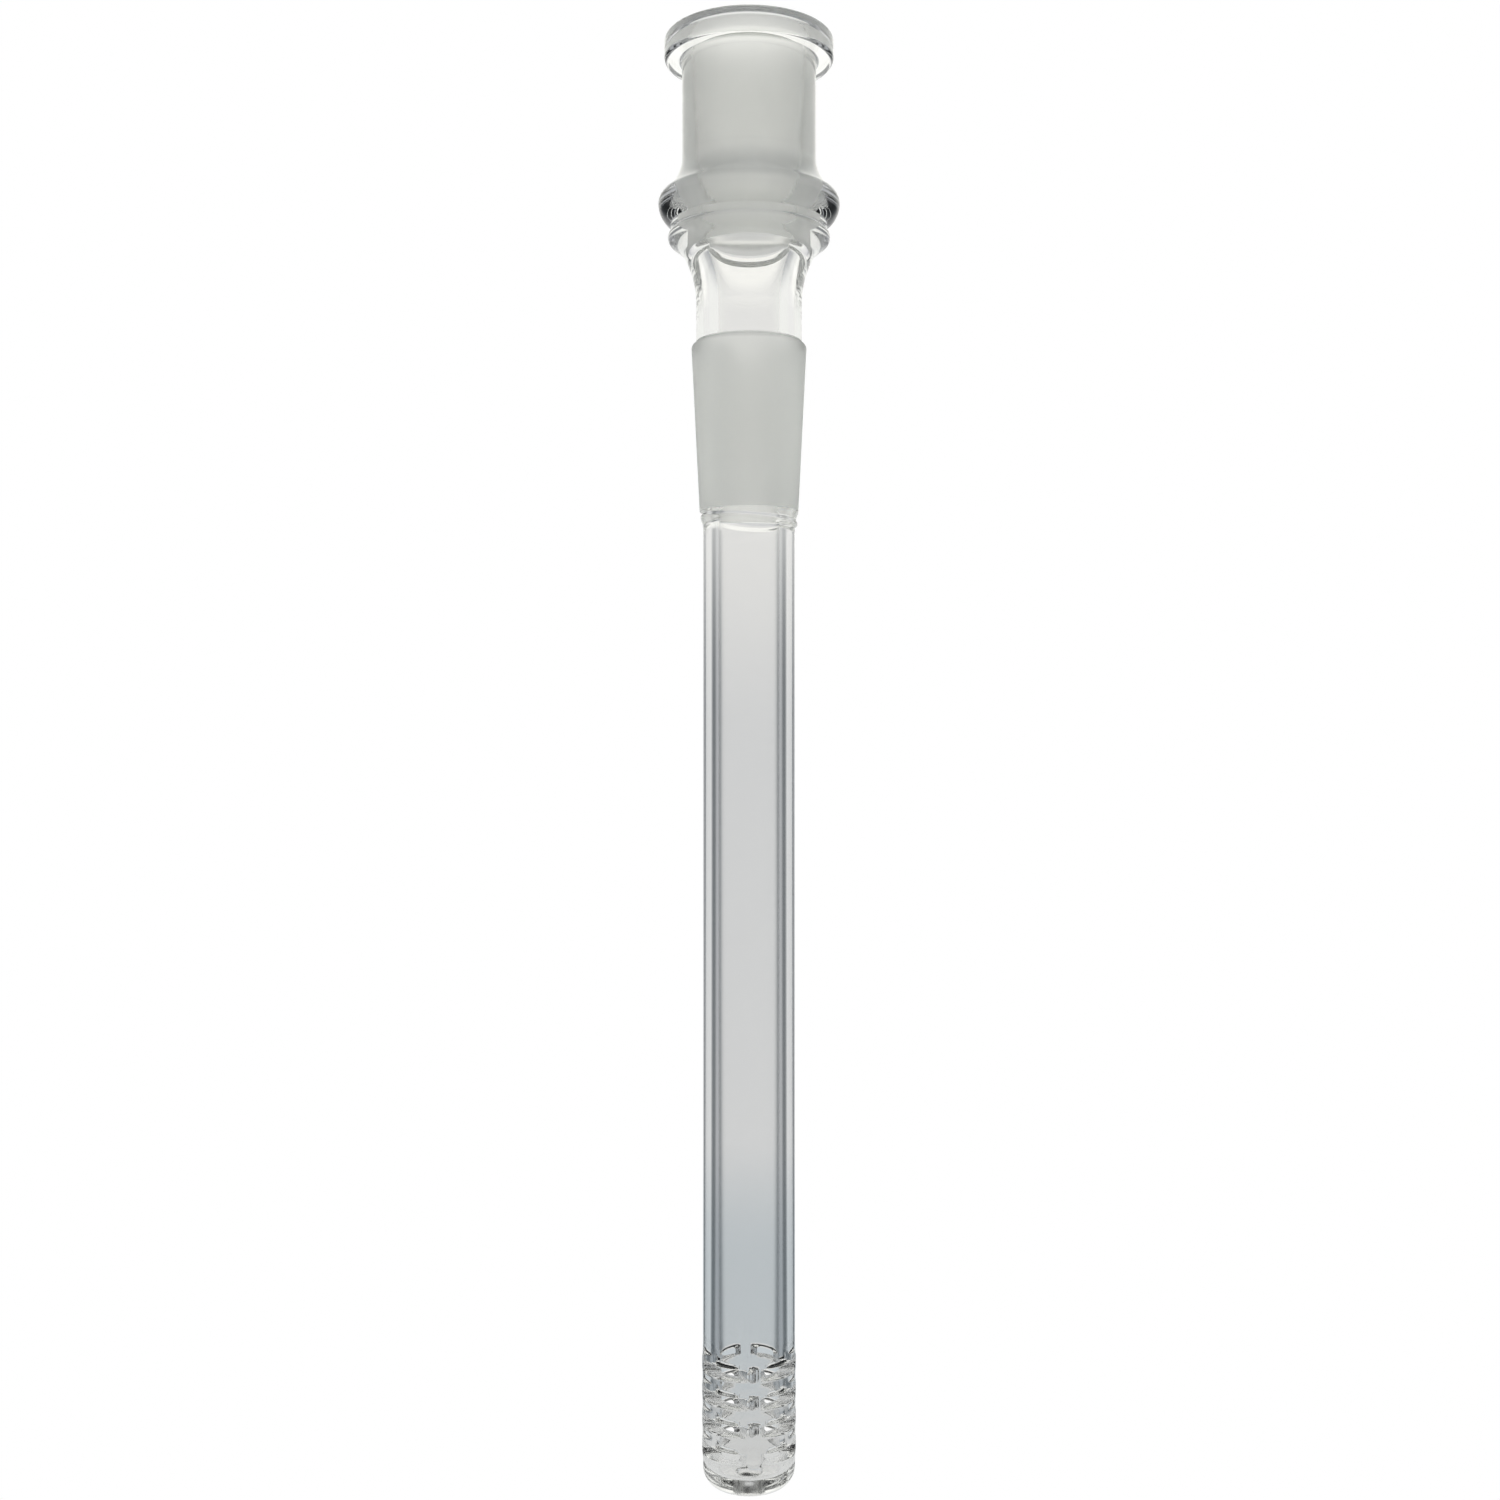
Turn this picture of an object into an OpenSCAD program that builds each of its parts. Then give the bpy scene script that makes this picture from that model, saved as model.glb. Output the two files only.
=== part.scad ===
// Ground-joint down-tube adapter: a female ground socket on top, a male ground
// cone below it, and a long heavy-walled stem that ends in rows of slits.
// Every node is one blank or formed zone of borosilicate glass. Neighbours
// meet face to face on flat weld planes. The origin is on the axis at the
// large end of the ground cone, where the part seats in a vessel's neck.

/* [Socket] */
// Diameter of the ground bore at the mouth
socket_d = 14.6; // [12:0.1:20]
// Wall of the barrel at the mouth
barrel_wall = 1.45; // [1:0.05:2.5]
// Distance from the mouth to the weld plane under the barrel
barrel_len = 15.6; // [12:0.2:17]

/* [Mouth rim] */
// How far the rim stands out from the barrel
rim_overhang = 2.3; // [1:0.1:4]
// Height of the rim
rim_h = 3.8; // [2.5:0.1:6]
// Radius of the rim's fire-polished edges
rim_round = 0.6; // [0.2:0.1:1]

/* [Rings] */
// How far the large ring stands out from the barrel
ring_overhang = 3.1; // [2:0.1:5]
// How far the small bead stands out from the barrel
bead_overhang = 1.85; // [1.2:0.05:2.5]
// Height from the large ring's crest to the bead's centre
ring_to_bead = 4.4; // [4:0.1:6]

/* [Neck and cone] */
// Outer diameter of the clear neck
neck_d = 13.8; // [13:0.1:14.2]
// Height from the cone's large end to the large ring's crest
crest_z = 18.9; // [17:0.1:24]
// Diameter of the ground cone at its large end
cone_d = 15; // [14.6:0.1:16]
// Length of the ground cone
cone_len = 21.2; // [16:0.2:28]

/* [Stem] */
// Outer diameter of the stem
stem_d = 12; // [11:0.1:12.4]
// Bore of the stem, the cone and the neck
bore = 8; // [5:0.1:9]
// Length of the stem below the cone, with its tip
stem_len = 127; // [60:1:160]

/* [Slit diffuser] */
// Number of rows of slits
slit_rows = 4; // [1:1:8]
// Height from one row to the next
slit_pitch = 3.6; // [2.6:0.1:5]
// Height of one slit
slit_h = 1.3; // [0.6:0.1:1.6]
// Number of slits in a row
slits_per_row = 4; // [2:1:4]
// Radius of the small saw wheel that cuts the slits
wheel_r = 6; // [4:0.5:8]
// Height from the end of the tip to the lowest row
tip_to_slit = 5.3; // [4.5:0.1:8]

/* [Tip] */
// Radius of the rounded end
tip_round = 2.5; // [1.5:0.1:2.9]
// Diameter of the end hole at the outside
tip_hole_d = 2.2; // [1.6:0.1:4]
// Thickness of the glass across the end
tip_wall = 2.9; // [2:0.1:4]

/* [Hidden] */
$fn = 96;

// Ground joints taper by 1 in 10 on the diameter
taper = 0.05;
clear_glass = [0.86, 0.89, 0.9];
ground_glass = [0.76, 0.77, 0.75];

// Socket
socket_r = socket_d / 2;
barrel_r = socket_r + barrel_wall;
mouth_bevel = 0.4;

// Large ring: a tight crest with a long soft underside
crest_r = barrel_r + ring_overhang;
crest_round = 1.6;
crest_under = 3;
under_angle = 62;
flare_round = 6;
crest_c = crest_r - crest_round;
flare_c = barrel_r + flare_round;
flare_reach = flare_round + crest_round;
flare_drop = sqrt(pow(flare_reach, 2) - pow(flare_c - crest_c, 2));
flare_z = crest_z + flare_drop;
flare_angle = asin(flare_drop / flare_reach);
ring_foot_r = crest_r - crest_under * (1 - cos(under_angle));
ring_foot_z = crest_z - crest_under * sin(under_angle);

// Heights of the weld planes above the origin
rim_face_z = flare_z + barrel_len;
rim_foot_z = rim_face_z - rim_h;
bead_z = crest_z - ring_to_bead;
bead_round = 1;
bead_r = barrel_r + bead_overhang;
cone_top_z = 0.9;
cone_foot_z = -cone_len;

// Outer sweep from the bead down to the neck
neck_r = neck_d / 2;
sweep_round = 13.5;
sweep_angle = 27;
sweep_foot_z = bead_z - 8.7;
bead_fillet = 1.1;
sweep_top = [neck_r + sweep_round * (1 - cos(sweep_angle)),
             sweep_foot_z + sweep_round * sin(sweep_angle)];

// Inside: the ground bore ends in a funnel that eases into the neck's bore
bore_end_z = bead_z + 0.9;
socket_end_r = socket_r - taper * (rim_face_z - bore_end_z);
bore_r = bore / 2;
funnel_foot_z = bead_z - 1.5;
funnel_flare = 1.4;

// Cone and the seal under it
cone_r = cone_d / 2;
cone_edge = 0.7;
cone_end_r = cone_r - taper * cone_len;
seal_len = 2.2;
seal_foot_z = cone_foot_z - seal_len;
stem_r = stem_d / 2;

// Stem, slits and tip
tip_z = cone_foot_z - stem_len;
tip_top_z = tip_z + tip_wall;
low_slit_z = tip_z + tip_to_slit;
plain_above = 1.75;
diffuser_top_z = low_slit_z + (slit_rows - 1) * slit_pitch + slit_h / 2 + plain_above;
slit_floor_r = bore_r - 0.4;
post_angle = -84;
tip_hole_r = tip_hole_d / 2;
tip_hole_flare = 0.5;

// Points along an arc in the profile plane, from angle a to angle b
function arc(x, z, r, a, b, n = 10) =
    [for (i = [0 : n]) let (t = a + (b - a) * i / n) [x + r * cos(t), z + r * sin(t)]];

// Radius of the ground bore at height z
function ground_r(z) = socket_r - taper * (rim_face_z - z);

// Points of a soft S between two radii, from height za down to zb
function ease(ra, za, rb, zb, n = 10) =
    [for (i = [0 : n]) [(ra + rb) / 2 + (ra - rb) / 2 * cos(180 * i / n), za + (zb - za) * i / n]];

// Points of the bore as it opens from the neck to the funnel's foot
function flared_bore(n = 6) =
    [for (i = [0 : n]) let (t = i / n)
        [bore_r + funnel_flare * t * t, sweep_foot_z + (funnel_foot_z - sweep_foot_z) * t]];

// One turned piece of glass from its half outline
module turned(points) {
    rotate_extrude()
        polygon(points);
}

module mouth_rim() {
    rim_r = barrel_r + rim_overhang;
    color(clear_glass)
        turned(concat(
            [[ground_r(rim_foot_z), rim_foot_z]],
            [[ground_r(rim_face_z - mouth_bevel), rim_face_z - mouth_bevel]],
            [[socket_r + mouth_bevel, rim_face_z]],
            arc(rim_r - rim_round, rim_face_z - rim_round, rim_round, 90, 0, 6),
            arc(rim_r - rim_round, rim_foot_z + rim_round, rim_round, 0, -90, 6)
        ));
}

module socket_barrel() {
    color(ground_glass)
        turned([
            [ground_r(flare_z), flare_z],
            [ground_r(rim_foot_z), rim_foot_z],
            [barrel_r, rim_foot_z],
            [barrel_r, flare_z]
        ]);
}

module maria_ring() {
    color(clear_glass)
        turned(concat(
            [[ground_r(ring_foot_z), ring_foot_z]],
            [[ground_r(flare_z), flare_z]],
            arc(flare_c, flare_z, flare_round, 180, 180 + flare_angle, 12),
            arc(crest_c, crest_z, crest_round, flare_angle - 1, 0, 8),
            arc(crest_r - crest_under, crest_z, crest_under, -6, -under_angle, 8)
        ));
}

module seal_bead() {
    color(clear_glass)
        turned(concat(
            flared_bore(),
            [[socket_end_r, bore_end_z]],
            [[ground_r(ring_foot_z), ring_foot_z]],
            [[ring_foot_r, ring_foot_z]],
            arc(bead_r - bead_round, bead_z, bead_round, 55, -65, 10),
            [sweep_top + [bead_fillet, bead_fillet]],
            arc(neck_r + sweep_round, sweep_foot_z, sweep_round, 180 - sweep_angle, 180, 12)
        ));
}

module neck_tube() {
    color(clear_glass)
        turned([
            [bore_r, cone_top_z],
            [bore_r, sweep_foot_z],
            [neck_r, sweep_foot_z],
            [neck_r, cone_top_z]
        ]);
}

module ground_cone() {
    color(ground_glass)
        turned(concat(
            [[bore_r, cone_foot_z]],
            [[bore_r, cone_top_z]],
            [[neck_r, cone_top_z]],
            arc(cone_r - cone_edge, 0, cone_edge, 80, 0, 6),
            [[cone_end_r, cone_foot_z]]
        ));
}

module cone_seal() {
    color(clear_glass)
        turned(concat(
            [[bore_r, seal_foot_z]],
            [[bore_r, cone_foot_z]],
            ease(cone_end_r, cone_foot_z, stem_r, seal_foot_z, 8)
        ));
}

module stem_tube() {
    color(clear_glass)
        difference() {
            translate([0, 0, diffuser_top_z])
                cylinder(r = stem_r, h = seal_foot_z - diffuser_top_z);
            translate([0, 0, diffuser_top_z - 1])
                cylinder(r = bore_r, h = seal_foot_z - diffuser_top_z + 2);
        }
}

// The saw wheel at each slit of one row
module row_of_cuts(z) {
    for (i = [0 : slits_per_row - 1])
        rotate(post_angle + (i + 0.5) * 360 / slits_per_row)
            translate([slit_floor_r + wheel_r, 0, z - slit_h / 2])
                cylinder(r = wheel_r, h = slit_h);
}

module slit_diffuser() {
    color(clear_glass)
        difference() {
            translate([0, 0, tip_top_z])
                cylinder(r = stem_r, h = diffuser_top_z - tip_top_z);
            translate([0, 0, tip_top_z - 1])
                cylinder(r = bore_r, h = diffuser_top_z - tip_top_z + 2);
            for (row = [0 : slit_rows - 1])
                row_of_cuts(low_slit_z + row * slit_pitch);
        }
}

module end_tip() {
    color(clear_glass)
        turned(concat(
            [[tip_hole_r, tip_z]],
            [[tip_hole_r + tip_hole_flare, tip_top_z]],
            [[stem_r, tip_top_z]],
            arc(stem_r - tip_round, tip_z + tip_round, tip_round, 0, -90, 12)
        ));
}

mouth_rim();
socket_barrel();
maria_ring();
seal_bead();
neck_tube();
ground_cone();
cone_seal();
stem_tube();
slit_diffuser();
end_tip();
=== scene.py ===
"""Ground-joint down-tube adapter in borosilicate glass: a ground socket with a
pressed rim, a squeezed ring and a seal bead, a clear neck, a ground cone, and a
long heavy-walled stem that ends in rows of fire-polished slits and an open tip.
Each blank of glass is a piece of its own, welded to the next on a flat plane."""

import math

import bmesh
import bpy
from bpy.props import FloatProperty, FloatVectorProperty, IntProperty, PointerProperty
from mathutils import Matrix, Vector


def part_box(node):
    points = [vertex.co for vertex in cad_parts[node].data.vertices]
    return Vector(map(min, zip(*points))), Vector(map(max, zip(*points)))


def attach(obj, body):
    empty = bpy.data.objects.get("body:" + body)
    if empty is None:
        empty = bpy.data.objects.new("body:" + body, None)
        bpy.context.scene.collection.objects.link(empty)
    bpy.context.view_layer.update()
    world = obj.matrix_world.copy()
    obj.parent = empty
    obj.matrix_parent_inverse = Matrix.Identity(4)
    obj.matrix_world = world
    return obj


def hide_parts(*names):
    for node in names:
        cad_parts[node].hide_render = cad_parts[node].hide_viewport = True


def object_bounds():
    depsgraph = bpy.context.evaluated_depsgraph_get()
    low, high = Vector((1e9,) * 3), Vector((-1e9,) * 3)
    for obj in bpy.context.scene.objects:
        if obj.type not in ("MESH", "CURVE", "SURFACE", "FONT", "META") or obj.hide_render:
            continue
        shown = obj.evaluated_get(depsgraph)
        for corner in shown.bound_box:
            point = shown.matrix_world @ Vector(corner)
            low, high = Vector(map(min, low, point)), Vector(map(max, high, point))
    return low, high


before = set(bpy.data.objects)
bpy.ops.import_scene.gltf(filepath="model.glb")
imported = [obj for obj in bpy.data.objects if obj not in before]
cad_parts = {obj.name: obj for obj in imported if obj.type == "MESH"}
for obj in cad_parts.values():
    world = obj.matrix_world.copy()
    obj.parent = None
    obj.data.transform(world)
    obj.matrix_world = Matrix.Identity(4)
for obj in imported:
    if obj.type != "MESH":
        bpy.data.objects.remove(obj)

CAD_BOX = [list(map(float, corner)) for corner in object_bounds()]

bl_info = {
    "name": "Ground-joint down tube",
    "version": (1, 0, 0),
    "blender": (4, 5, 0),
    "location": "View3D > Sidebar > Glass",
    "description": "Builds a ground-joint glass adapter with a slit diffuser and its studio",
    "category": "Add Mesh",
}

MM = 0.001
TURN_STEPS = 240
GLASS_IOR = 1.47

# Material slots of a piece: its own finish, its weld planes, and a second finish
OWN_SLOT, WELD_SLOT, SECOND_SLOT = 0, 1, 2
# How far outside a bore a face or a corner may lie and still belong to it
BORE_MARGIN = 0.1 * MM
# Radius of the small fire-rounded lips at the mouth and at the end hole
LIP = 0.3 * MM
# How far above the funnel's foot the frosting ends
FROST_EDGE = 1.2 * MM
# Weld crease under the cone: its drop below the cone, its depth, how far below it
# the lip lies and how far inside the cone's end, and the slope of the whole
CREASE_DROP, CREASE_DEPTH = 0.7 * MM, 0.3 * MM
CREASE_LIP_DROP, CREASE_LIP_DEPTH = 0.45 * MM, 0.1 * MM
CREASE_TILT = 0.07
# How much wider the end hole is inside, and the rounding of the bore's floor
HOLE_FLARE, BOWL = 0.45 * MM, 0.8 * MM


# ---------------------------------------------------------------- the frame

def low(name):
    """Height of a node's lower weld plane."""
    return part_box(name)[0][2]


def high(name):
    """Height of a node's upper weld plane."""
    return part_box(name)[1][2]


def half_width(name):
    """Largest radius of a turned node."""
    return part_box(name)[1][0]


BARREL_R = half_width("socket_barrel")
RIM_R = half_width("mouth_rim")
CREST_R = half_width("maria_ring")
BEAD_R = half_width("seal_bead")
CONE_R = half_width("ground_cone")
STEM_R = half_width("stem_tube")
FACE_Z = high("mouth_rim")


# ---------------------------------------------------------------- sizes and colours

def size(name, description, mm, **more):
    """A length property whose default is given in millimetres."""
    return FloatProperty(name=name, description=description, default=mm * MM,
                         subtype="DISTANCE", unit="LENGTH", precision=5, **more)


def tint(name, description, rgb):
    """A linear colour property."""
    return FloatVectorProperty(name=name, description=description, default=rgb,
                               size=3, subtype="COLOR", min=0, max=1)


class GlassSocketSizes(bpy.types.PropertyGroup):
    mouth_r: size("Mouth radius", "Radius of the ground bore at the mouth", 7.3)
    rim_round: size("Rim rounding", "Radius of the rim's fire-polished edges", 0.62)
    rim_foot: size("Rim fillet", "Fillet between the rim and the barrel", 0.55)
    ring_to_bead: size("Ring to bead", "Height from the bead's centre to the ring's foot", 1.75)
    flare_round: size("Flare", "Radius of the sweep from the barrel into the ring", 6)
    crest_round: size("Crest rounding", "Radius of the top of the ring's crest", 1.6)
    crest_under: size("Crest underside", "Radius of the underside of the ring's crest", 3)
    bead_round: size("Bead rounding", "Radius of the seal bead", 1)
    funnel_top: size("Funnel top", "Height of the ground bore's end above the bead's centre", 0.9)
    funnel_foot: size("Funnel foot", "Depth of the funnel's foot below the bead's centre", 1.5)
    funnel_flare: size("Funnel flare", "How much wider than the bore the funnel's foot is", 1.4)


class GlassJointSizes(bpy.types.PropertyGroup):
    neck_r: size("Neck radius", "Outer radius of the clear neck", 6.9)
    bore_r: size("Bore", "Bore radius of the neck, the cone and the stem", 4)
    sweep_round: size("Neck sweep", "Radius of the sweep from the bead to the neck", 13.5)
    edge_round: size("Cone edge", "Radius of the cone's upper edge", 0.7)
    taper: FloatProperty(name="Taper", description="Fall of the cone's radius with length",
                         default=0.05, min=0, max=0.2)


class GlassStemSizes(bpy.types.PropertyGroup):
    rows: IntProperty(name="Rows", description="Rows of slits", default=4, min=1, max=8)
    cuts: IntProperty(name="Cuts", description="Slits in a row", default=4, min=2, max=6)
    pitch: size("Row pitch", "Height from one row of slits to the next", 3.6)
    slit_h: size("Slit height", "Height of a slit", 1.3)
    first_row: size("First row", "Height of the lowest slit above the tip", 5.3)
    post_angle: FloatProperty(name="Post angle", description="Where the first post stands",
                              default=math.radians(-84), subtype="ANGLE", unit="ROTATION")
    tip_round: size("Tip rounding", "Radius of the rounded end", 2.5)
    hole_r: size("End hole", "Radius of the hole in the end", 1.1)


class GlassColours(bpy.types.PropertyGroup):
    clear: tint("Clear glass", "Tint of the clear glass", (0.912, 0.91, 0.906))
    ground: tint("Ground glass", "Tint of the ground surfaces", (0.965, 0.97, 0.945))


# ---------------------------------------------------------------- materials

# Sockets of a colour Mix node, which share their names with its other kinds
MIX_FIRST, MIX_SECOND, MIX_RESULT = 6, 7, 2


class Wire:
    """A socket that takes part in arithmetic: each operator adds its Math node."""

    def __init__(self, tree, socket):
        self.tree = tree
        self.socket = socket

    def _math(self, operation, first, second):
        return node(self.tree, "ShaderNodeMath", {"operation": operation},
                    {0: first, 1: second})

    def __add__(self, other):
        return self._math("ADD", self, other)

    def __radd__(self, other):
        return self._math("ADD", other, self)

    def __sub__(self, other):
        return self._math("SUBTRACT", self, other)

    def __rsub__(self, other):
        return self._math("SUBTRACT", other, self)

    def __mul__(self, other):
        return self._math("MULTIPLY", self, other)

    def __rmul__(self, other):
        return self._math("MULTIPLY", other, self)

    def __truediv__(self, other):
        return self._math("DIVIDE", self, other)

    def __pow__(self, other):
        return self._math("POWER", self, other)


def node(tree, kind, settings=None, values=None, output=0):
    """Adds one node: its settings first, then its sockets. Returns an output."""
    made = tree.nodes.new(kind)
    for name, value in (settings or {}).items():
        setattr(made, name, value)
    for name, value in (values or {}).items():
        if isinstance(value, Wire):
            tree.links.new(value.socket, made.inputs[name])
        else:
            made.inputs[name].default_value = value
    return Wire(tree, made.outputs[output]) if made.outputs else None


def smooth(tree, value, start, end):
    """0 below start, 1 above end, eased between."""
    return node(tree, "ShaderNodeMapRange", {"interpolation_type": "SMOOTHSTEP"},
                {"Value": value, "From Min": start, "From Max": end})


def mix_colour(tree, factor, first, second, blend="MIX"):
    """One colour at factor 0 and the other at 1."""
    return node(tree, "ShaderNodeMix", {"data_type": "RGBA", "blend_type": blend},
                {"Factor": factor, MIX_FIRST: first, MIX_SECOND: second}, output=MIX_RESULT)


def toned(rgb, share=1.0):
    """A colour with alpha, darkened to a share of itself."""
    return (*[channel * share for channel in rgb], 1)


def split_xyz(tree, vector):
    """The three parts of a vector."""
    split = tree.nodes.new("ShaderNodeSeparateXYZ")
    tree.links.new(vector.socket, split.inputs[0])
    return [Wire(tree, part) for part in split.outputs]


def object_place(tree):
    return node(tree, "ShaderNodeTexCoord", output="Object")


def object_point(tree, scale):
    """Object coordinates, stretched by scale on each axis."""
    return node(tree, "ShaderNodeMapping", {"vector_type": "POINT"},
                {"Vector": object_place(tree), "Scale": scale})


def noise(tree, vector, scale, detail, rough=0.5):
    return node(tree, "ShaderNodeTexNoise", None,
                {"Vector": vector, "Scale": scale, "Detail": detail, "Roughness": rough})


def relief(tree, height, strength, distance):
    """A bumped normal."""
    return node(tree, "ShaderNodeBump", None,
                {"Strength": strength, "Distance": distance, "Height": height})


def new_material(name):
    material = bpy.data.materials.new(name)
    material.use_nodes = True
    material.node_tree.nodes.clear()
    return material, material.node_tree


def finish_material(tree, shader):
    node(tree, "ShaderNodeOutputMaterial", None, {"Surface": shader})


def glass_shader(tree, colour, roughness, transmission, bump):
    """One glass surface, wired to the material's output."""
    finish_material(tree, node(tree, "ShaderNodeBsdfPrincipled", None, {
        "Base Color": colour, "Roughness": roughness, "IOR": GLASS_IOR,
        "Transmission Weight": transmission, "Normal": bump,
    }))


def clear_glass():
    """Drawn tube: faint long draw lines in the surface and a trace of haze."""
    material, tree = new_material("blown_glass")
    rgb = bpy.context.scene.glass_colours.clear
    lines = noise(tree, object_point(tree, (1, 1, 0.02)), scale=900, detail=3)
    waves = noise(tree, object_point(tree, (1, 1, 0.25)), scale=160, detail=2)
    bump = relief(tree, lines * 0.5 + waves, strength=0.12, distance=0.00003)
    haze = noise(tree, object_point(tree, (1, 1, 1)), scale=220, detail=3)
    shade = mix_colour(tree, haze, toned(rgb), toned(rgb, 0.985))
    glass_shader(tree, shade, haze * 0.02, 1.0, bump)
    return material


def ground_glass():
    """Ground taper: fine matt grain with turning marks round the axis. The cone is
    a little darker than the socket, with the change between 2 and 12 mm of height."""
    material, tree = new_material("frosted_glass")
    rgb = bpy.context.scene.glass_colours.ground
    grain = noise(tree, object_point(tree, (1, 1, 1)), scale=5200, detail=3, rough=0.6)
    rings = noise(tree, object_point(tree, (0.05, 0.05, 1)), scale=2400, detail=2)
    cloud = noise(tree, object_point(tree, (1, 1, 0.6)), scale=190, detail=3)
    bump = relief(tree, grain + rings * 0.6, strength=0.16, distance=0.00005)
    socket = mix_colour(tree, cloud, toned(rgb), toned(rgb, 0.93))
    cone = mix_colour(tree, cloud, toned(rgb, 0.93), toned(rgb, 0.86))
    height = split_xyz(tree, object_place(tree))[2]
    shade = mix_colour(tree, smooth(tree, height, 0.002, 0.012), cone, socket)
    glass_shader(tree, shade, 0.62 + cloud * 0.18, 0.8, bump)
    return material


def sawn_glass():
    """Sawn slit: fire-softened, with fine saw marks and a milky skin."""
    material, tree = new_material("sawn_glass")
    rgb = bpy.context.scene.glass_colours.clear
    marks = noise(tree, object_point(tree, (1, 1, 0.4)), scale=1500, detail=3, rough=0.6)
    bump = relief(tree, marks, strength=0.25, distance=0.00008)
    shade = mix_colour(tree, marks, toned(rgb), toned(rgb, 0.97))
    glass_shader(tree, shade, 0.16 + marks * 0.2, 0.95, bump)
    return material


def weld_plane():
    """Fused glass has no face inside: light passes a weld plane unbent."""
    material, tree = new_material("weld_plane")
    finish_material(tree, node(tree, "ShaderNodeBsdfTransparent"))
    return material


MATERIALS = {"blown_glass": clear_glass, "frosted_glass": ground_glass,
             "sawn_glass": sawn_glass, "weld_plane": weld_plane}


def finish_of(name):
    """A finish by its name, made the first time it is asked for."""
    return bpy.data.materials.get(name) or MATERIALS[name]()


# ---------------------------------------------------------------- turning glass

# Heights and positions closer than this are the same
SAME = 1e-7


def arc(x, z, r, start, end, steps=16):
    """Points round a centre in the profile plane, from one angle to another."""
    turn = [math.radians(start + (end - start) * i / steps) for i in range(steps + 1)]
    return [(x + r * math.cos(t), z + r * math.sin(t)) for t in turn]


def ease(top_r, top_z, foot_r, foot_z, steps):
    """A soft S from one radius to another."""
    run = [i / steps for i in range(steps + 1)]
    return [((top_r + foot_r) / 2 + (top_r - foot_r) / 2 * math.cos(math.pi * t),
             top_z + (foot_z - top_z) * t) for t in run]


def levels(foot, top, steps):
    """Evenly spaced heights from foot to top."""
    return [foot + (top - foot) * i / steps for i in range(steps + 1)]


def tube_outline(bore, outer, heights):
    """Half outline of a straight tube, with points at these heights."""
    return [(bore, z) for z in heights] + [(outer, z) for z in reversed(heights)]


def reach_of(point):
    """Distance of a point from the axis."""
    return math.hypot(point.x, point.y)


def ground_r(z):
    """Radius of the socket's ground bore at a height."""
    sizes = bpy.context.scene.glass_socket
    return sizes.mouth_r - bpy.context.scene.glass_joint.taper * (FACE_Z - z)


def crest_place():
    """Radius and height of the centre of the ring's crest, and where it meets the
    flare above it, as an angle in degrees."""
    sizes = bpy.context.scene.glass_socket
    centre_r = CREST_R - sizes.crest_round
    reach = sizes.flare_round + sizes.crest_round
    drop = math.sqrt(reach ** 2 - (BARREL_R + sizes.flare_round - centre_r) ** 2)
    return centre_r, high("maria_ring") - drop, math.degrees(math.asin(drop / reach))


def ring_foot_r():
    """Radius of the waist between the large ring and the bead."""
    under = bpy.context.scene.glass_socket.crest_under
    depth = crest_place()[1] - low("maria_ring")
    return CREST_R - under + math.sqrt(under ** 2 - depth ** 2)


def spin_outline(mesh, outline, steps=TURN_STEPS):
    """Turns a closed half outline once round the axis and closes the seam."""
    corners = [mesh.verts.new((x, 0, z)) for x, z in outline]
    edges = [mesh.edges.new((a, b)) for a, b in zip(corners, corners[1:] + corners[:1])]
    bmesh.ops.spin(mesh, geom=corners + edges, cent=(0, 0, 0), axis=(0, 0, 1),
                   angle=2 * math.pi, steps=steps, use_merge=True, use_duplicate=False)
    bmesh.ops.remove_doubles(mesh, verts=mesh.verts, dist=SAME)
    bmesh.ops.recalc_face_normals(mesh, faces=mesh.faces)


def lies_on(face, height):
    return all(abs(v.co.z - height) < SAME for v in face.verts)


def mark_welds(mesh, heights):
    """Gives the flat weld faces their own slot and keeps their edges sharp."""
    for face in mesh.faces:
        if any(lies_on(face, height) for height in heights):
            face.material_index = WELD_SLOT
    for edge in mesh.edges:
        kinds = {face.material_index == WELD_SLOT for face in edge.link_faces}
        edge.smooth = len(kinds) == 1


def mark_bore(mesh, limit):
    """Gives every face nearer the axis than limit(z) the second finish."""
    for face in mesh.faces:
        centre = face.calc_center_median()
        if face.material_index == OWN_SLOT and reach_of(centre) < limit(centre.z):
            face.material_index = SECOND_SLOT


def turned(outline, welds):
    """One turned blank of glass, with its weld planes marked."""
    mesh = bmesh.new()
    spin_outline(mesh, outline)
    mark_welds(mesh, welds)
    return mesh


def add_piece(mesh, name, node_name, finishes):
    """Makes the piece from its bmesh, gives it its finishes and hides its CAD node."""
    for face in mesh.faces:
        face.smooth = True
    data = bpy.data.meshes.new(name)
    mesh.to_mesh(data)
    mesh.free()
    for finish in finishes:
        data.materials.append(finish_of(finish))
    piece = bpy.data.objects.new(name, data)
    bpy.context.scene.collection.objects.link(piece)
    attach(piece, "root")
    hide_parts(node_name)


class GlassOperator(bpy.types.Operator):
    """Shared settings of the glass operators"""
    bl_idname = "glass.blank"
    bl_label = "Glass blank"
    bl_options = {"REGISTER", "UNDO"}


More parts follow.
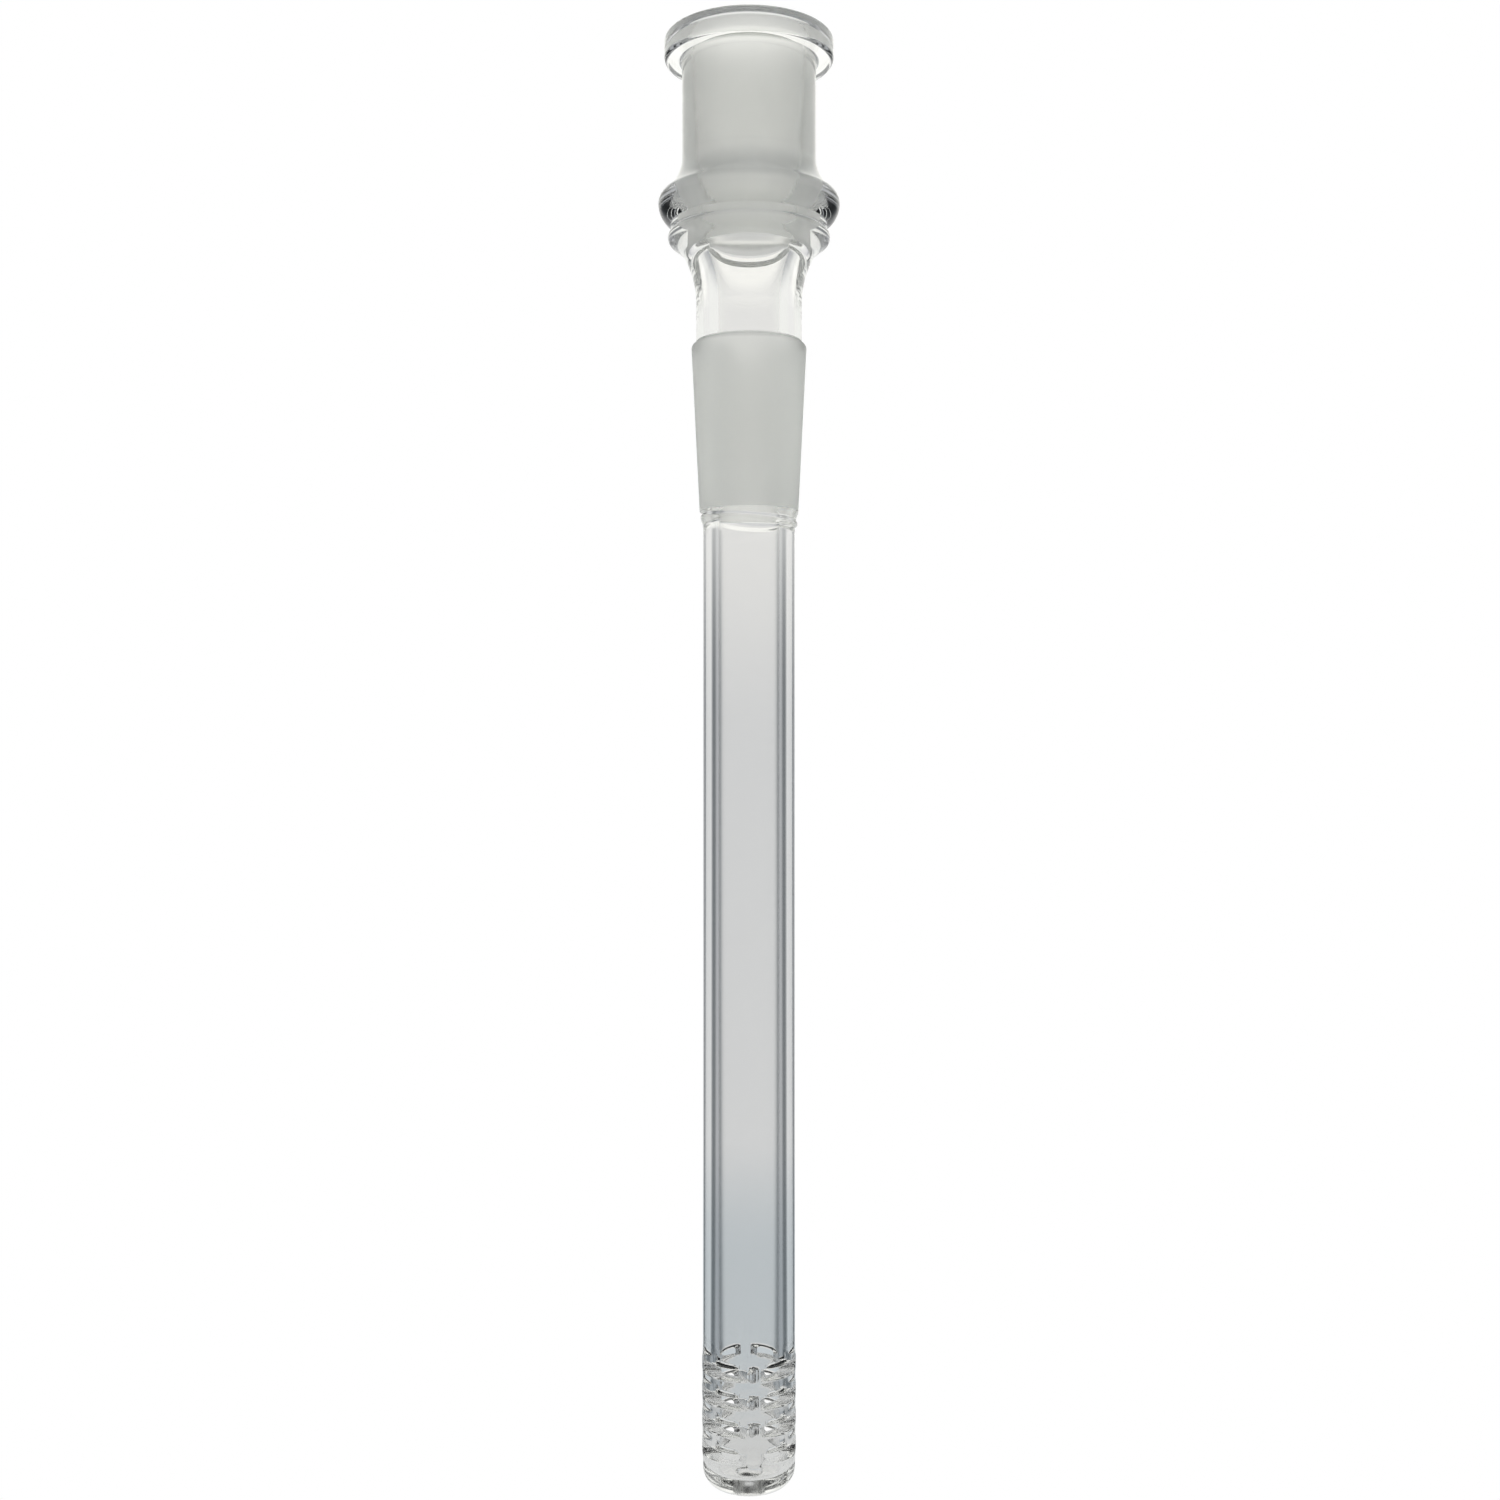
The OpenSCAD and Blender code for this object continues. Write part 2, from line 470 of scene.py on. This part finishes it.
class GLASS_OT_mouth_rim(GlassOperator):
    """Pressed rim round the mouth of the socket"""
    bl_idname = "glass.mouth_rim"
    bl_label = "Mouth rim"

    def execute(self, context):
        sizes = context.scene.glass_socket
        foot, round_r, fillet = low("mouth_rim"), sizes.rim_round, sizes.rim_foot
        lip_z = FACE_Z - LIP
        outline = [(ground_r(foot), foot), (ground_r(lip_z), lip_z)]
        outline += arc(ground_r(FACE_Z) + LIP, lip_z, LIP, 180, 90, 6)
        outline += arc(RIM_R - round_r, FACE_Z - round_r, round_r, 90, 0)
        outline += arc(RIM_R - round_r, foot + fillet + round_r, round_r, 0, -90)
        outline += arc(BARREL_R + fillet, foot, fillet, 90, 180, 8)
        mesh = turned(outline, [foot])
        mark_bore(mesh, lambda z: ground_r(z) + BORE_MARGIN if z < lip_z else 0)
        add_piece(mesh, "mouth_rim_glass", "mouth_rim",
                  ["blown_glass", "weld_plane", "frosted_glass"])
        return {"FINISHED"}


class GLASS_OT_socket_barrel(GlassOperator):
    """Barrel of the female socket, ground inside and smooth outside"""
    bl_idname = "glass.socket_barrel"
    bl_label = "Socket barrel"

    def execute(self, context):
        foot, top = low("socket_barrel"), high("socket_barrel")
        heights = levels(foot, top, steps=12)
        outline = [(ground_r(z), z) for z in heights]
        outline += [(BARREL_R, z) for z in reversed(heights)]
        mesh = turned(outline, [foot, top])
        mark_bore(mesh, lambda z: ground_r(z) + BORE_MARGIN)
        add_piece(mesh, "socket_barrel_glass", "socket_barrel",
                  ["blown_glass", "weld_plane", "frosted_glass"])
        return {"FINISHED"}


class GLASS_OT_maria_ring(GlassOperator):
    """Wide squeezed ring under the barrel"""
    bl_idname = "glass.maria_ring"
    bl_label = "Large ring"

    def execute(self, context):
        sizes = context.scene.glass_socket
        foot, top = low("maria_ring"), high("maria_ring")
        crest_c, crest_z, lean = crest_place()
        flare_c = BARREL_R + sizes.flare_round
        under = math.degrees(math.asin((crest_z - foot) / sizes.crest_under))
        outline = [(ground_r(foot), foot), (ground_r(top), top)]
        outline += arc(flare_c, top, sizes.flare_round, 180, 180 + lean, 24)
        outline += arc(crest_c, crest_z, sizes.crest_round, lean, 0, 16)[1:]
        outline += arc(CREST_R - sizes.crest_under, crest_z, sizes.crest_under, 0, -under)[1:]
        mesh = turned(outline, [foot, top])
        mark_bore(mesh, lambda z: ground_r(z) + BORE_MARGIN)
        add_piece(mesh, "maria_ring_glass", "maria_ring",
                  ["blown_glass", "weld_plane", "frosted_glass"])
        return {"FINISHED"}


class GLASS_OT_seal_bead(GlassOperator):
    """Bead where the socket is sealed to the neck, with the funnel inside"""
    bl_idname = "glass.seal_bead"
    bl_label = "Seal bead"

    def execute(self, context):
        sizes, joint = context.scene.glass_socket, context.scene.glass_joint
        foot, top = low("seal_bead"), high("seal_bead")
        bead_z = top - sizes.ring_to_bead
        funnel_z, ground_z = bead_z - sizes.funnel_foot, bead_z + sizes.funnel_top
        steps = 12
        outline = [(joint.bore_r + sizes.funnel_flare * t * t, foot + (funnel_z - foot) * t)
                   for t in levels(0, 1, steps)[:-1]]
        outline += ease(joint.bore_r + sizes.funnel_flare, funnel_z,
                        ground_r(ground_z), ground_z, steps)
        outline += [(ground_r(top), top), (ring_foot_r(), top)]
        outline += arc(BEAD_R - sizes.bead_round, bead_z, sizes.bead_round, 55, -60)
        outline += arc(joint.neck_r + joint.sweep_round, foot, joint.sweep_round, 150, 180, 30)
        mesh = turned(outline, [foot, top])
        frost_z = funnel_z + FROST_EDGE
        mark_bore(mesh, lambda z: ground_r(z) + BORE_MARGIN if z > frost_z else 0)
        add_piece(mesh, "seal_bead_glass", "seal_bead",
                  ["blown_glass", "weld_plane", "frosted_glass"])
        return {"FINISHED"}


class GLASS_OT_neck_tube(GlassOperator):
    """Clear neck between the bead and the cone"""
    bl_idname = "glass.neck_tube"
    bl_label = "Neck tube"

    def execute(self, context):
        joint = context.scene.glass_joint
        foot, top = low("neck_tube"), high("neck_tube")
        outline = tube_outline(joint.bore_r, joint.neck_r, levels(foot, top, steps=8))
        mesh = turned(outline, [foot, top])
        add_piece(mesh, "neck_tube_glass", "neck_tube",
                  ["blown_glass", "weld_plane"])
        return {"FINISHED"}


class GLASS_OT_ground_cone(GlassOperator):
    """Male cone, ground outside and smooth in its bore"""
    bl_idname = "glass.ground_cone"
    bl_label = "Ground cone"

    def execute(self, context):
        joint = context.scene.glass_joint
        foot, top = low("ground_cone"), high("ground_cone")
        edge, bore = joint.edge_round, joint.bore_r
        outline = [(bore, foot), (bore, top), (joint.neck_r, top)]
        outline += arc(CONE_R - edge, 0, edge, 80, 0, 10)
        outline += [(CONE_R + joint.taper * z, z) for z in levels(0, foot, steps=10)[1:]]
        mesh = turned(outline, [foot, top])
        mark_bore(mesh, lambda z: bore + BORE_MARGIN)
        add_piece(mesh, "ground_cone_glass", "ground_cone",
                  ["frosted_glass", "weld_plane", "blown_glass"])
        return {"FINISHED"}


class GLASS_OT_cone_seal(GlassOperator):
    """Shoulder where the cone is sealed to the stem, with a slightly tilted crease"""
    bl_idname = "glass.cone_seal"
    bl_label = "Cone seal"

    def execute(self, context):
        joint = context.scene.glass_joint
        foot, top = low("cone_seal"), high("cone_seal")
        end_r = CONE_R + joint.taper * top
        crease_z, crease_r = top - CREASE_DROP, end_r - CREASE_DEPTH
        lip_z, lip_r = crease_z - CREASE_LIP_DROP, end_r - CREASE_LIP_DEPTH
        outline = [(joint.bore_r, foot), (joint.bore_r, top)]
        outline += ease(end_r, top, crease_r, crease_z, 12)
        outline += ease(crease_r, crease_z, lip_r, lip_z, 8)[1:]
        outline += ease(lip_r, lip_z, STEM_R, foot, 12)[1:]
        mesh = turned(outline, [foot, top])
        for vert in mesh.verts:
            if reach_of(vert.co) > joint.bore_r + BORE_MARGIN:
                bell = math.sin(math.pi * (top - vert.co.z) / (top - foot))
                vert.co.z -= CREASE_TILT * vert.co.x * bell
        add_piece(mesh, "cone_seal_glass", "cone_seal",
                  ["blown_glass", "weld_plane"])
        return {"FINISHED"}


class GLASS_OT_stem_tube(GlassOperator):
    """Heavy-walled down tube"""
    bl_idname = "glass.stem_tube"
    bl_label = "Stem tube"

    def execute(self, context):
        bore = context.scene.glass_joint.bore_r
        foot, top = low("stem_tube"), high("stem_tube")
        outline = tube_outline(bore, STEM_R, levels(foot, top, steps=48))
        mesh = turned(outline, [foot, top])
        add_piece(mesh, "stem_tube_glass", "stem_tube",
                  ["blown_glass", "weld_plane"])
        return {"FINISHED"}


# ---------------------------------------------------------------- slits

# Half the angle that a slit spans in the stem's outer skin and in its bore
SLIT_SPAN = math.radians(36.9)
BORE_SPAN = math.radians(20)
# Columns of faces across a slit and across a post, and the share of a slit's width
# that each of its end columns takes, wide enough for the rounding of its corners
SLIT_COLUMNS, POST_COLUMNS = 12, 4
END_COLUMN = 0.16
# Where the wall between two rows of slits is divided
WALL_SPLITS = (0.35, 0.65)
# Rounding of the slits' edges, and the angle past which an edge is a slit's edge
POLISH = 0.36 * MM
SLIT_EDGE_ANGLE = math.radians(40)
# How many millimetres the wall stands proud and how many that varies from row to
# land, and the height over which it fades out at each end
SWELL, SWELL_WAVE = 0.1, 0.05
SWELL_FADE = 1.5 * MM


def column_angles(stem, half_span):
    """Angles of the wall's columns: each slit's, then each post's."""
    sector = 2 * math.pi / stem.cuts
    post = sector - 2 * half_span
    inner = [END_COLUMN + (1 - 2 * END_COLUMN) * k / (SLIT_COLUMNS - 2)
             for k in range(SLIT_COLUMNS - 1)]
    angles = []
    for i in range(stem.cuts):
        centre = stem.post_angle + (i + 0.5) * sector
        angles += [centre + half_span * (2 * t - 1) for t in [0] + inner]
        angles += [centre + half_span + post * k / POST_COLUMNS for k in range(POST_COLUMNS)]
    return angles


def row_heights(stem, foot, top):
    """Heights of the wall's rings, and which bands between them are slits."""
    rings, slits = [foot], []
    for row in range(stem.rows):
        centre = low("end_tip") + stem.first_row + row * stem.pitch
        start, end = centre - stem.slit_h / 2, centre + stem.slit_h / 2
        rings += [rings[-1] + (start - rings[-1]) * t for t in WALL_SPLITS]
        slits.append(len(rings))
        rings += [start, end]
    rings += [rings[-1] + (top - rings[-1]) * t for t in (*WALL_SPLITS, 1)]
    return rings, slits


def swell(stem, z, foot, top):
    """How far the reheated wall stands proud: most at each row of slits."""
    row = (z - low("end_tip") - stem.first_row) / stem.pitch
    fade = max(0, min(1, (z - foot) / SWELL_FADE, (top - z) / SWELL_FADE))
    return fade * (SWELL + SWELL_WAVE * math.cos(2 * math.pi * row)) * MM


def build_slit_wall(mesh, stem, foot, top):
    """Turns the wall, opens the slits in both skins, moves the columns to the slits'
    angles and bridges each outer opening to its inner one."""
    rings, slits = row_heights(stem, foot, top)
    per_slit = SLIT_COLUMNS + POST_COLUMNS
    count = stem.cuts * per_slit
    bore = bpy.context.scene.glass_joint.bore_r
    spin_outline(mesh, tube_outline(bore, STEM_R, rings), count)
    column, ring = {}, {}
    for vert in mesh.verts:
        turn = math.atan2(vert.co.y, vert.co.x) / (2 * math.pi)
        column[vert] = round(turn * count) % count
        ring[vert] = min(range(len(rings)), key=lambda i: abs(rings[i] - vert.co.z))
    open_faces = []
    for face in mesh.faces:
        columns = sorted({column[v] for v in face.verts})
        first = columns[-1] if columns[-1] - columns[0] > 1 else columns[0]
        if min(ring[v] for v in face.verts) in slits and first % per_slit < SLIT_COLUMNS:
            open_faces.append(face)
    bmesh.ops.delete(mesh, geom=open_faces, context="FACES")
    spans = {bore: column_angles(stem, BORE_SPAN), STEM_R: column_angles(stem, SLIT_SPAN)}
    for vert in mesh.verts:
        reach = min(spans, key=lambda r: abs(r - reach_of(vert.co)))
        angle = spans[reach][column[vert]]
        if reach == STEM_R:
            reach += swell(stem, vert.co.z, foot, top)
        vert.co.x, vert.co.y = reach * math.cos(angle), reach * math.sin(angle)
    openings = {}
    for edge in mesh.edges:
        if len(edge.link_faces) == 1:
            vert = edge.verts[0]
            row = next(i for i, band in enumerate(slits) if ring[vert] in (band, band + 1))
            openings.setdefault((row, column[vert] // per_slit), []).append(edge)
    for edges in openings.values():
        bmesh.ops.bridge_loops(mesh, edges=edges)
    bmesh.ops.recalc_face_normals(mesh, faces=mesh.faces)


def polish_slits(mesh, foot, top):
    """Rounds every edge of the slits, as the flame does."""
    def at_end(vert):
        return min(abs(vert.co.z - foot), abs(vert.co.z - top)) < SAME
    slit_edges = [edge for edge in mesh.edges if not any(map(at_end, edge.verts))
                  and edge.calc_face_angle(0) > SLIT_EDGE_ANGLE]
    bmesh.ops.bevel(mesh, geom=slit_edges, offset=POLISH, offset_type="OFFSET", segments=4,
                    profile=0.5, affect="EDGES", material=-1, clamp_overlap=True)


def mark_slits(mesh):
    """Gives the faces inside the wall, between its two skins, the sawn finish."""
    bore = bpy.context.scene.glass_joint.bore_r
    for face in mesh.faces:
        reach = reach_of(face.calc_center_median())
        if face.material_index == OWN_SLOT and bore + POLISH < reach < STEM_R - POLISH:
            face.material_index = SECOND_SLOT


class GLASS_OT_slit_diffuser(GlassOperator):
    """Stretch of the stem with rows of fire-polished slits"""
    bl_idname = "glass.slit_diffuser"
    bl_label = "Slit diffuser"

    def execute(self, context):
        foot, top = low("slit_diffuser"), high("slit_diffuser")
        mesh = bmesh.new()
        build_slit_wall(mesh, context.scene.glass_stem, foot, top)
        polish_slits(mesh, foot, top)
        mark_welds(mesh, [foot, top])
        mark_slits(mesh)
        add_piece(mesh, "slit_diffuser_glass", "slit_diffuser",
                  ["blown_glass", "weld_plane", "sawn_glass"])
        return {"FINISHED"}


class GLASS_OT_end_tip(GlassOperator):
    """Rounded end of the stem with its small hole"""
    bl_idname = "glass.end_tip"
    bl_label = "End tip"

    def execute(self, context):
        stem, bore = context.scene.glass_stem, context.scene.glass_joint.bore_r
        foot, top = low("end_tip"), high("end_tip")
        throat, end_round = stem.hole_r + HOLE_FLARE, stem.tip_round
        outline = arc(stem.hole_r + LIP, foot + LIP, LIP, 270, 180, 6)
        outline += arc(throat + LIP, top - BOWL - LIP, LIP, 180, 90, 6)
        outline += arc(bore - BOWL, top, BOWL, 270, 360, 12)
        outline += [(STEM_R, top)]
        outline += arc(STEM_R - end_round, foot + end_round, end_round, 0, -90, 24)
        mesh = turned(outline, [top])
        mark_bore(mesh, lambda z: throat if foot + LIP < z < top - BOWL - LIP else 0)
        add_piece(mesh, "end_tip_glass", "end_tip",
                  ["blown_glass", "weld_plane", "sawn_glass"])
        return {"FINISHED"}


# ---------------------------------------------------------------- stage

# The camera stands level in front of the stem, a hair to one side of the axis
VIEW_SIDE = 0.00013
VIEW_DISTANCE = 0.2303
VIEW_HEIGHT = -0.0531
VIEW_SHIFT = 0.004
SENSOR_WIDTH = 36
# Focal length, which makes the view about 196 mm wide at the axis
LENS = 42.28308
GLASS_BOUNCES = 64
FLOOR_RADIUS = 3
FLOOR_GAP = 0.0005
WHITE = (1, 1, 1, 1)

# Light of the pale wall behind, of the soft room round it, of the two dim gaps
# between them and of the ceiling, each from the foot upwards
WALL_FOOT = (0.80, 0.81, 0.815, 1)
WALL_MID = (0.92, 0.92, 0.905, 1)
WALL_TOP = (1.22, 1.22, 1.17, 1)
ROOM_FOOT = (0.45, 0.465, 0.48, 1)
ROOM_MID = (0.95, 0.96, 0.93, 1)
ROOM_TOP = (1.0, 1.01, 0.97, 1)
GAP_TONE = (0.15, 0.165, 0.175, 1)
CEILING_TONE = (0.30, 0.32, 0.28, 1)
# Where one tone eases into the next, as the sine of the height angle
WALL_RISE, WALL_CROWN = (0.0, 0.12), (0.25, 0.34)
ROOM_RISE, ROOM_CROWN = (0.02, 0.24), (0.27, 0.37)
GAP_FADE, CEILING_EDGE = (0.02, 0.2), (0.6, 0.9)
# The same to the sides, as the cosine of the angle from straight behind
WALL_EDGE, GAP_INNER, GAP_OUTER = (0.82, 0.95), (0.78, 0.93), (0.50, 0.70)
# Painted shade on the floor, bluer grey near the object and plain grey right under it, and the
# distances from the axis over which each gives way
FLOOR_PAINTED_SHADE, FLOOR_PAINTED_SHADE_EDGE = (0.78, 0.83, 0.86, 1), (0.10, 0.22)
FLOOR_UNDER_PAINTED_SHADE, FLOOR_UNDER_PAINTED_SHADE_EDGE = (0.72, 0.73, 0.725, 1), (0.012, 0.05)


def surround_glow(tree, x, y, z):
    """What the glass sees: a pale wall behind, two dim gaps beside it, and soft walls.
    The heading comes from x and y, the height from z."""
    facing = y / ((x * x + y * y) ** 0.5 + 1e-6)
    wall = mix_colour(tree, smooth(tree, z, *WALL_RISE), WALL_FOOT, WALL_MID)
    wall = mix_colour(tree, smooth(tree, z, *WALL_CROWN), wall, WALL_TOP)
    room = mix_colour(tree, smooth(tree, z, *ROOM_RISE), ROOM_FOOT, ROOM_MID)
    room = mix_colour(tree, smooth(tree, z, *ROOM_CROWN), room, ROOM_TOP)
    lit = mix_colour(tree, smooth(tree, facing, *WALL_EDGE), room, wall)
    gap = (1 - smooth(tree, facing, *GAP_INNER)) * smooth(tree, facing, *GAP_OUTER)
    gap = gap * (1 - smooth(tree, z, *GAP_FADE))
    round_about = mix_colour(tree, gap, lit, GAP_TONE)
    return mix_colour(tree, smooth(tree, z, *CEILING_EDGE), round_about, CEILING_TONE)


def white_to_camera(tree, glow):
    """Plain white where the camera looks straight at it, and the glow elsewhere."""
    seen = node(tree, "ShaderNodeLightPath", output="Is Camera Ray")
    return mix_colour(tree, seen, glow, WHITE)


def painted_light_floor_material():
    """The floor's glow is painted light: it carries on the surround's foot, with painted shade
    that is bluer near the object and plain grey right under it."""
    material, tree = new_material("painted_light_floor")
    x, y, z = split_xyz(tree, object_place(tree))
    away = (x * x + y * y) ** 0.5
    # Painted shade: bluer grey near the axis, fading to white further out
    floor_painted_shade = mix_colour(tree, smooth(tree, away, *FLOOR_PAINTED_SHADE_EDGE), FLOOR_PAINTED_SHADE, WHITE)
    # Painted light: the surround's light at its foot, by heading, laid on the floor
    glow = mix_colour(tree, 1.0, surround_glow(tree, x, y, 0 * z), floor_painted_shade, "MULTIPLY")
    # Painted shade: plain grey right under the object
    glow = mix_colour(tree, smooth(tree, away, *FLOOR_UNDER_PAINTED_SHADE_EDGE), FLOOR_UNDER_PAINTED_SHADE, glow)
    shade = white_to_camera(tree, glow)
    finish_material(tree, node(tree, "ShaderNodeEmission", None, {"Color": shade}))
    return material


def add_floor(scene):
    """A round floor just under the tip."""
    mesh = bmesh.new()
    bmesh.ops.create_circle(mesh, cap_ends=True, segments=64, radius=FLOOR_RADIUS)
    bmesh.ops.translate(mesh, verts=mesh.verts, vec=(0, 0, CAD_BOX[0][2] - FLOOR_GAP))
    data = bpy.data.meshes.new("painted_light_floor")
    mesh.to_mesh(data)
    mesh.free()
    data.materials.append(painted_light_floor_material())
    floor = bpy.data.objects.new("painted_light_floor", data)
    scene.collection.objects.link(floor)


def add_surround(scene):
    """White to the camera; to the glass the soft studio round it."""
    world = bpy.data.worlds.new("studio_surround")
    scene.world = world
    world.use_nodes = True
    tree = world.node_tree
    tree.nodes.clear()
    x, y, z = split_xyz(tree, node(tree, "ShaderNodeTexCoord", output="Generated"))
    shade = white_to_camera(tree, surround_glow(tree, x, y, z))
    back = node(tree, "ShaderNodeBackground", None, {"Color": shade, "Strength": 1.0})
    node(tree, "ShaderNodeOutputWorld", None, {"Surface": back})


def add_camera(scene):
    """A level camera in front of the stem."""
    camera = bpy.data.cameras.new("studio_camera")
    camera.sensor_width = SENSOR_WIDTH
    camera.lens = LENS
    camera.shift_y = VIEW_SHIFT
    camera.clip_start = 0.01
    eye = bpy.data.objects.new("studio_camera", camera)
    eye.matrix_world = (Matrix.Translation((VIEW_SIDE, -VIEW_DISTANCE, VIEW_HEIGHT))
                        @ Matrix.Rotation(math.pi / 2, 4, "X"))
    scene.collection.objects.link(eye)
    scene.camera = eye


class GLASS_OT_stage(GlassOperator):
    """Pale floor, soft studio surround and the camera"""
    bl_idname = "glass.stage"
    bl_label = "Studio"

    def execute(self, context):
        scene = context.scene
        add_floor(scene)
        add_surround(scene)
        add_camera(scene)
        scene.view_settings.view_transform = "Standard"
        scene.cycles.max_bounces = GLASS_BOUNCES
        scene.cycles.transmission_bounces = GLASS_BOUNCES
        scene.cycles.transparent_max_bounces = GLASS_BOUNCES
        return {"FINISHED"}


# ---------------------------------------------------------------- panel and run

PIECE_OPERATORS = (
    GLASS_OT_mouth_rim, GLASS_OT_socket_barrel, GLASS_OT_maria_ring, GLASS_OT_seal_bead,
    GLASS_OT_neck_tube, GLASS_OT_ground_cone, GLASS_OT_cone_seal, GLASS_OT_stem_tube,
    GLASS_OT_slit_diffuser, GLASS_OT_end_tip, GLASS_OT_stage,
)
PROPERTY_GROUPS = {
    "glass_socket": GlassSocketSizes, "glass_joint": GlassJointSizes,
    "glass_stem": GlassStemSizes, "glass_colours": GlassColours,
}


class GLASS_PT_panel(bpy.types.Panel):
    """Lists the pieces of the adapter and their sizes"""
    bl_idname = "GLASS_PT_panel"
    bl_label = "Ground-joint down tube"
    bl_space_type = "VIEW_3D"
    bl_region_type = "UI"
    bl_category = "Glass"

    def draw(self, context):
        for operator in PIECE_OPERATORS:
            self.layout.operator(operator.bl_idname)
        for name, group in PROPERTY_GROUPS.items():
            box = self.layout.box()
            for prop in group.__annotations__:
                box.prop(getattr(context.scene, name), prop)


def register():
    for group in PROPERTY_GROUPS.values():
        bpy.utils.register_class(group)
    for name, group in PROPERTY_GROUPS.items():
        setattr(bpy.types.Scene, name, PointerProperty(type=group))
    for operator in PIECE_OPERATORS:
        bpy.utils.register_class(operator)
    bpy.utils.register_class(GLASS_PT_panel)


def unregister():
    bpy.utils.unregister_class(GLASS_PT_panel)
    for operator in reversed(PIECE_OPERATORS):
        bpy.utils.unregister_class(operator)
    for name, group in PROPERTY_GROUPS.items():
        delattr(bpy.types.Scene, name)
        bpy.utils.unregister_class(group)


def main():
    register()
    for operator in PIECE_OPERATORS:
        group, name = operator.bl_idname.split(".")
        getattr(getattr(bpy.ops, group), name)()


if __name__ == "__main__":
    main()
